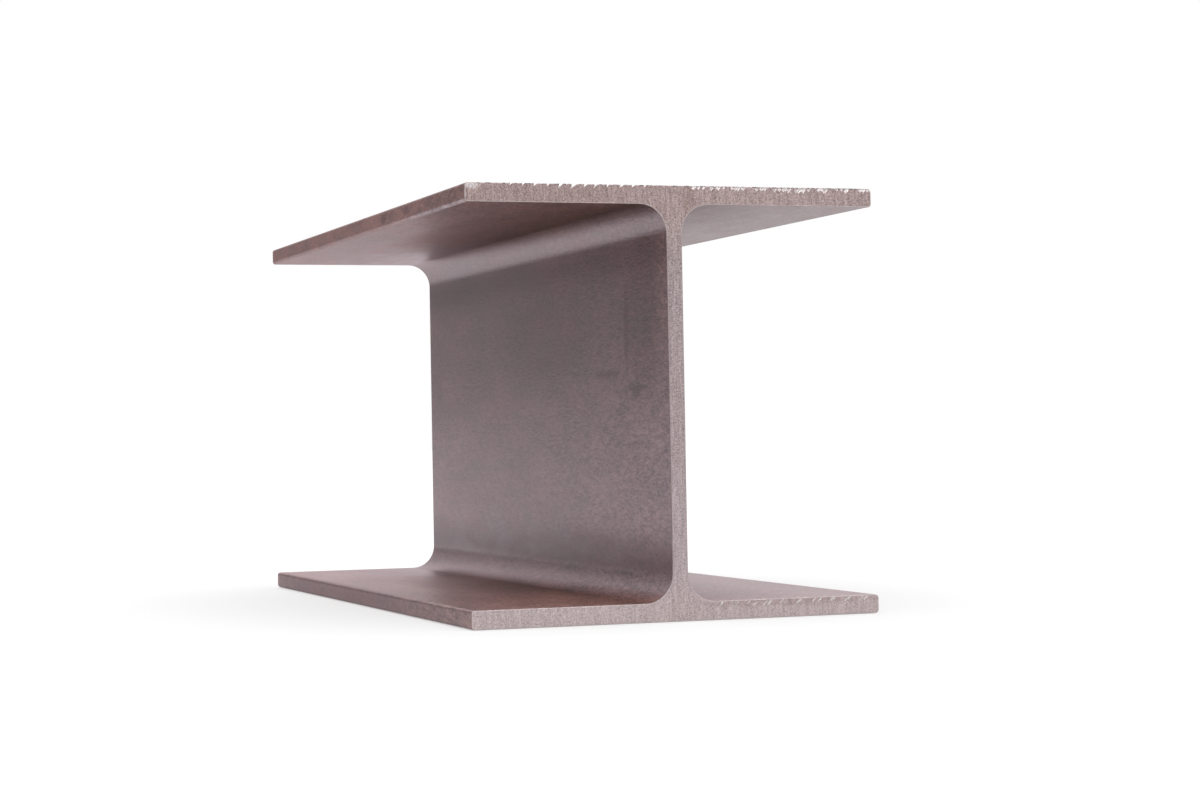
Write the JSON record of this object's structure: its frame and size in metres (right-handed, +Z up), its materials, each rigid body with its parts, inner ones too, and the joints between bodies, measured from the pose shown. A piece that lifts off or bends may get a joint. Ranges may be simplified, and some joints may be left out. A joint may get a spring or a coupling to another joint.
{
  "type": "steel i-beam",
  "caption": "Short sawn length of hot-rolled wide-flange steel beam: a plate web between parallel flanges of equal width, joined by rounded root fillets.",
  "frame": {"origin": "on the floor, under the middle of the web and midway between the sawn ends", "axes": "+Y along the beam, +X across the flanges, +Z up the web from the bottom flange to the top flange"},
  "size_m": [0.152, 0.305, 0.152],
  "materials": {
    "mill_scale_steel": "reddish-grey mill scale, with brighter sawn ends"
  },
  "bodies": {
    "root": {"i_beam": "mill_scale_steel"}
  },
  "joints": []
}
